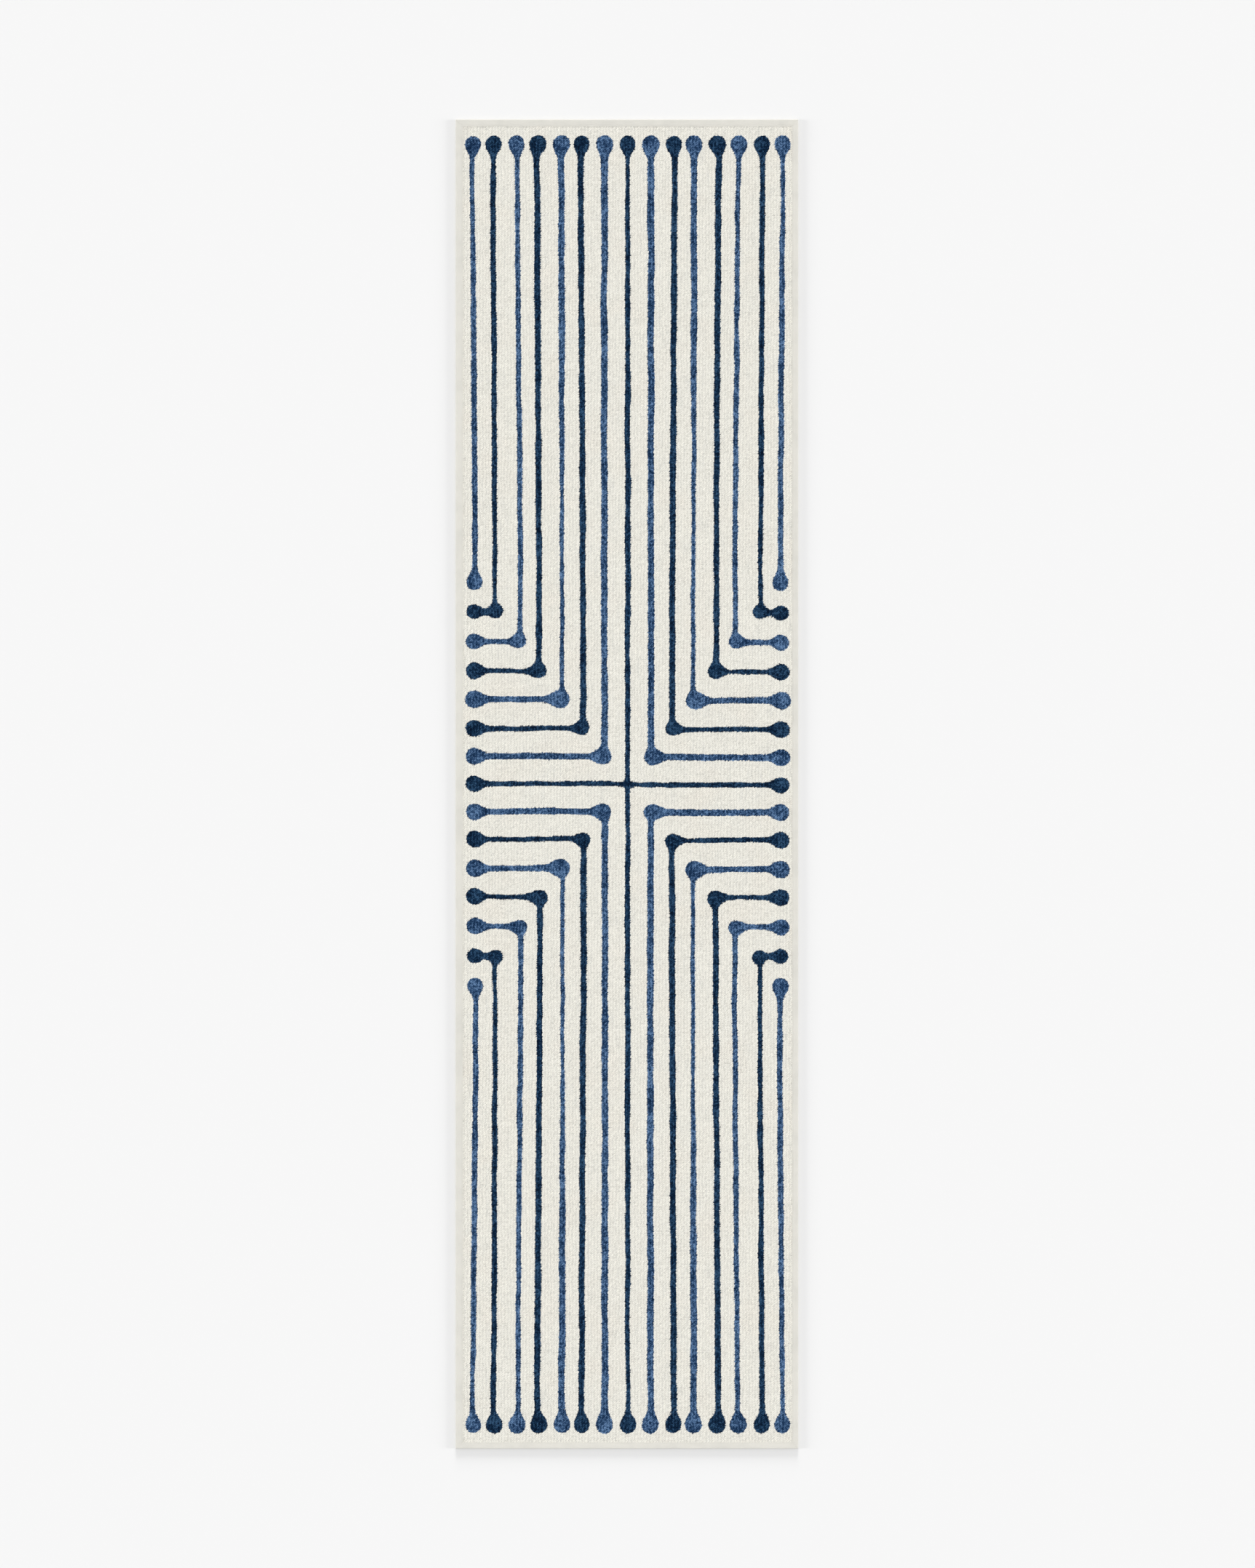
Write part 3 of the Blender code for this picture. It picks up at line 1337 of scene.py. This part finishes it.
@dataclass
class BoundEdge:
    """One edge of the rug: its folded tape, and the needle and bobbin threads that hold it."""

    side: Side
    # The tape's thickness, the fold's radius at its middle, and the gap left on each mitre
    cloth: float = 0.5 * MM
    fold_radius: float = 0.75 * MM
    mitre_gap: float = 0.05 * MM
    # How far the tape keeps from the outside of its CAD solid below, above, and at the flaps' rims
    floor_gap: float = 0.05 * MM
    top_gap: float = 0.10 * MM
    rim_gap: float = 0.3 * MM
    # Lines of the tape's mesh: how many on the lower flap, on each half of the fold, on the upper flap
    # before the seam, and about the seam
    lower_lines: int = 8
    fold_lines: int = 5
    upper_lines: int = 6
    seam_lines: int = 5
    # How far short of the seam the upper flap's even lines stop, the first and the last of the lines
    # about the seam, and how far from the flap's outside width the last line but one lies
    even_until: float = 1.6 * MM
    seam_first: float = -1.0 * MM
    seam_last: float = 1.2 * MM
    rim_line: float = 0.7 * MM
    # The seam's place and half width, how far it draws each flap in, and how far each stitch does
    seam_from_flap_edge: float = 2.4 * MM
    seam_reach: float = 1.1 * MM
    seam_pinch: float = 0.10 * MM
    pinch_below: float = 0.10 * MM
    pucker: float = 0.07 * MM
    # How far the upper flap comes down from the fold to its rim, and from where on
    drape: float = 0.28 * MM
    drape_from: float = 1.5 * MM
    # How much the upper flap's height strays, from where on, and over what spacing
    ease: float = 0.05 * MM
    ease_from: float = 2.0 * MM
    ease_spacing: float = 0.05
    # The thread, and the length of one lockstitch, which is stretched a little to fit the seam
    thread_width: float = 0.40 * MM
    thread_sides: int = 6
    stitch_wanted: float = 4.0 * MM
    # A stitch as shares of its half length: where it bends, and from where it dives and thins
    bends: tuple[float, ...] = (-0.6, -0.25, 0.25, 0.6)
    dive_from: float = 0.45
    thin_from: float = 0.5
    thinning: float = 0.35
    # How steeply the needle's stitch dives, and the bobbin's
    needle_dive: float = 2.0 * MM
    bobbin_dive: float = 0.7 * MM
    # How high the needle's thread stands on the tape, in its radii, and the bobbin's off the floor
    needle_lift: float = 0.3
    bobbin_gap: float = 0.02 * MM

    def __post_init__(self) -> None:
        """Reads the edge's own sizes from the frame."""
        low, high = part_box(f"binding_{self.side.label}")
        self.flap = flap_width(self.side.label)
        self.top = high.z
        in_x, in_y = self.side.inward
        self.edge = max(abs(low.x), abs(high.x)) if in_x else max(abs(low.y), abs(high.y))
        self.half_run = cad_half(1) if in_x else cad_half(0)
        self.slopes = [flap_width(label) / self.flap for label in self.side.neighbours]
        self.seam = self.flap - self.seam_from_flap_edge
        self.seam_start, self.seam_end = self.ends(self.seam)
        self.stitches = int((self.seam_end - self.seam_start) / self.stitch_wanted)
        self.stitch = (self.seam_end - self.seam_start) / self.stitches

    def ends(self, inset: float | Array) -> tuple[float | Array, float | Array]:
        """Where the tape ends on the mitre, at some distance in from the outer edge.

        Args:
            inset: Distance in from the outer edge.

        Returns:
            The places of the low and the high end along the edge.
        """
        reach = [self.half_run - inset * slope - self.mitre_gap for slope in self.slopes]
        return -reach[0], reach[1]

    def place(self, inset: Array, run: Array, height: Array) -> Array:
        """Turns places on the edge into places in the frame.

        Args:
            inset: Distance in from the outer edge.
            run: Distance along the edge from its middle.
            height: Height above the floor.

        Returns:
            Points of shape (count, 3).
        """
        in_x, in_y = self.side.inward
        out = inset - self.edge
        return np.stack([in_x * out + abs(in_y) * run, in_y * out + abs(in_x) * run, height], axis=1)

    def section(self) -> tuple[Array, Array, Array]:
        """The tape's middle surface across the edge, from the lower flap's rim to the upper one's.

        Returns:
            Distance over the cloth, inset from the edge, and height, for each line of the mesh.
        """
        half, radius = self.cloth / 2, self.fold_radius
        low, high = half + self.floor_gap, self.top - half - self.top_gap
        turn = np.radians(np.linspace(0, 90, self.fold_lines))
        bend = half + radius
        rim = self.flap - self.rim_gap
        lower = np.linspace(rim, bend, self.lower_lines)[:-1]
        flat = np.linspace(bend, self.seam - self.even_until, self.upper_lines)[1:]
        seam = self.seam + np.linspace(self.seam_first, self.seam_last, self.seam_lines)
        upper = np.concatenate([flat, seam, [self.flap - self.rim_line, rim]])
        fold_in, fold_out = bend - radius * np.sin(turn), bend - radius * np.cos(turn)
        inset = np.concatenate([lower, fold_in, fold_out, upper])
        fold_up, fold_over = low + radius - radius * np.cos(turn), high - radius + radius * np.sin(turn)
        height = np.concatenate([np.full(len(lower), low), fold_up, fold_over, np.full(len(upper), high)])
        over = np.concatenate([[0], np.cumsum(np.hypot(np.diff(inset), np.diff(height)))])
        return over, inset, height

    def tape(self) -> bpy.types.Object:
        """Makes the tape: a flat strip folded over the edge, mitred, pinched and puckered by the seam.

        Returns:
            The finished piece.
        """
        over, inset, height = self.section()
        cells = (len(over) - 1, 2 * self.stitches)
        thing = flat_grid(f"tape_{self.side.label}", (0, 0, 0), (1, 1, 0), cells)
        flat = places(thing)
        line = np.rint(flat[:, 0] * cells[0]).astype(int)
        along = flat[:, 1]
        u, z = inset[line], height[line]
        low_end, high_end = self.ends(u)
        run = low_end + (high_end - low_end) * along
        z = z + self.sewn_down(u, run, along, z > self.top / 2)
        set_places(thing, self.place(u, run, z))
        apply_modifier(thing, "SOLIDIFY", thickness=self.cloth, offset=0.0)
        face_out(thing)
        dress(thing, shared("binding_tape", TapeCloth().material), crease=50)
        return place_in_frame(thing, [f"binding_{self.side.label}"])

    def sewn_down(self, inset: Array, run: Array, share: Array, upper: Array) -> Array:
        """How far the seam draws the tape in, and how its free rim lies down on the cloth.

        Args:
            inset: Distance in from the outer edge.
            run: Distance along the edge.
            share: The same as a share of the tape's length, from 0 to 1.
            upper: True on the upper flap.

        Returns:
            The change in height, up positive.
        """
        at_seam = np.exp(-(((inset - self.seam) / self.seam_reach) ** 2))
        beat = 0.5 + 0.5 * np.cos(2 * math.pi * share * self.stitches)
        stray = self.ease * SoftNoise(41, self.ease_spacing)(inset, run) * (inset > self.ease_from)
        above = stray - at_seam * (self.seam_pinch + self.pucker * beat) - self.draped(inset)
        return np.where(upper, above, at_seam * self.pinch_below)

    def draped(self, inset: float | Array) -> float | Array:
        """How far the upper flap has come down at some distance in from the outer edge."""
        return self.drape * np.clip((inset - self.drape_from) / (self.flap - self.drape_from), 0, 1)

    def seam_top(self) -> float:
        """Height of the tape's upper surface along the seam, between the dips of the stitches."""
        return self.top - self.top_gap - self.draped(self.seam) - self.seam_pinch - 0.5 * self.pucker

    def thread(self, row: Row) -> bpy.types.Object:
        """Makes one row of stitches: a single stitch, arrayed along the seam.

        Args:
            row: The needle's row, on top, or the bobbin's, underneath.

        Returns:
            The finished piece.
        """
        radius, half = self.thread_width / 2, self.stitch / 2
        deselect_all()
        bpy.ops.mesh.primitive_cylinder_add(
            vertices=self.thread_sides,
            radius=radius,
            depth=self.stitch,
            end_fill_type="NGON",
            rotation=(math.pi / 2, 0, 0),
        )
        thing = bpy.context.object
        thing.name = thing.data.name = f"{row.value}_stitches_{self.side.label}"
        bpy.ops.object.transform_apply(location=False, rotation=True, scale=False)
        bpy.ops.object.mode_set(mode="EDIT")
        for share in self.bends:
            bpy.ops.mesh.select_all(action="SELECT")
            bpy.ops.mesh.bisect(plane_co=(0, share * half, 0), plane_no=(0, 1, 0))
        bpy.ops.object.mode_set(mode="OBJECT")
        stitch = places(thing)
        reach = np.abs(stitch[:, 1]) / half
        steep = np.clip(reach - self.dive_from, 0, 1) ** 2
        thin = 1 - self.thinning * np.clip(reach - self.thin_from, 0, 1)
        if row is Row.NEEDLE:
            middle = self.seam_top() + self.needle_lift * radius - steep * self.needle_dive
        else:
            middle = self.bobbin_gap + radius + steep * self.bobbin_dive
        inset = self.seam + stitch[:, 0] * thin
        run = self.seam_start + half + stitch[:, 1]
        set_places(thing, self.place(inset, run, middle + stitch[:, 2] * thin))
        in_x, in_y = self.side.inward
        repeat(thing, self.stitches, (abs(in_y) * self.stitch, abs(in_x) * self.stitch, 0))
        face_out(thing)
        dress(thing, shared("sewing_thread", SewingThread().material), crease=60)
        return place_in_frame(thing, [f"{row.value}_thread_{self.side.label}"])

    def build(self) -> None:
        """Makes the tape and both threads."""
        self.tape()
        for row in Row:
            self.thread(row)


# --------------------------------------------------------------------------------------------------
# The studio
# --------------------------------------------------------------------------------------------------


@dataclass(frozen=True)
class Studio:
    """A pale floor under a white sky, low soft light from the head end, and a camera straight above."""

    # Brightness of the sky at the horizon and overhead
    sky_low: float = 0.93
    sky_high: float = 0.72
    floor_tone: float = 0.78
    floor_size: float = 240.0
    # The camera: its lens and sensor, the height of the floor that it takes in, how far the frame's
    # middle is to the right of the rug's, and how far it sees
    lens: float = 150.0
    sensor: float = 36.0
    frame_height: float = 3.446
    frame_right: float = 1.4 * MM
    sight: float = 400.0
    # Bearings of the low lights from the head end, in degrees, with each one's strength
    lights: tuple[tuple[float, float], ...] = ((-90.0, 1.72), (0.0, 2.45), (90.0, 1.72))
    # How high they stand and how broad they are, in degrees
    light_height: float = 12.5
    light_spread: float = 16.0

    def build(self) -> None:
        """Makes the sky, the floor, the lights and the camera."""
        self.make_sky()
        self.make_floor()
        self.make_lights()
        self.make_camera()
        bpy.context.scene.view_settings.view_transform = "Standard"

    def make_sky(self) -> None:
        """A white sky, as bright as the floor where they meet and a little darker overhead."""
        world = bpy.data.worlds.new("studio_sky")
        bpy.context.scene.world = world
        world.use_nodes = True
        nodes, links = world.node_tree.nodes, world.node_tree.links
        split = nodes.new("ShaderNodeSeparateXYZ")
        fade = nodes.new("ShaderNodeMapRange")
        fade.inputs["To Min"].default_value = self.sky_low
        fade.inputs["To Max"].default_value = self.sky_high
        links.new(nodes.new("ShaderNodeTexCoord").outputs["Generated"], split.inputs[0])
        links.new(split.outputs["Z"], fade.inputs["Value"])
        links.new(fade.outputs["Result"], nodes["Background"].inputs["Strength"])
        nodes["Background"].inputs["Color"].default_value = (1.0, 1.0, 1.0, 1.0)

    def make_floor(self) -> None:
        """A wide, pale, matt floor, just under the rug."""
        deselect_all()
        bpy.ops.mesh.primitive_plane_add(size=self.floor_size, location=(0, 0, 0))
        floor = bpy.context.object
        floor.name = "floor"
        material = bpy.data.materials.new("studio_floor")
        material.use_nodes = True
        shader = material.node_tree.nodes["Principled BSDF"]
        shader.inputs["Base Color"].default_value = (*(self.floor_tone,) * 3, 1.0)
        shader.inputs["Roughness"].default_value = 1.0
        shader.inputs["Specular IOR Level"].default_value = 0.0
        floor.data.materials.append(material)

    def make_lights(self) -> None:
        """Broad low lights round the head end, so that the sides and the foot cast a soft shadow."""
        for bearing, strength in self.lights:
            deselect_all()
            turn = (math.radians(90 - self.light_height), 0.0, math.radians(180 - bearing))
            bpy.ops.object.light_add(type="SUN", rotation=turn)
            light = bpy.context.object
            light.name = f"low_light_{bearing:+.0f}"
            light.data.energy = strength
            light.data.angle = math.radians(self.light_spread)

    def make_camera(self) -> None:
        """A long lens looking straight down, with the head end at the top of the frame."""
        deselect_all()
        far = self.frame_height * self.lens / self.sensor
        bpy.ops.object.camera_add(location=(self.frame_right, 0.0, far), rotation=(0.0, 0.0, 0.0))
        camera = bpy.context.object
        camera.name = "studio_camera"
        camera.data.lens = self.lens
        camera.data.sensor_width = self.sensor
        camera.data.sensor_fit = "AUTO"
        camera.data.clip_end = self.sight
        bpy.context.scene.camera = camera


def main() -> None:
    """Builds the rug in its frame, and the studio round it."""
    logging.basicConfig(level=logging.INFO, format="%(name)s: %(message)s")
    Studio().build()
    GripCoat().build()
    BackingMat().build()
    FaceCloth().build()
    for side in Side:
        BoundEdge(side).build()


if __name__ == "__main__":
    main()
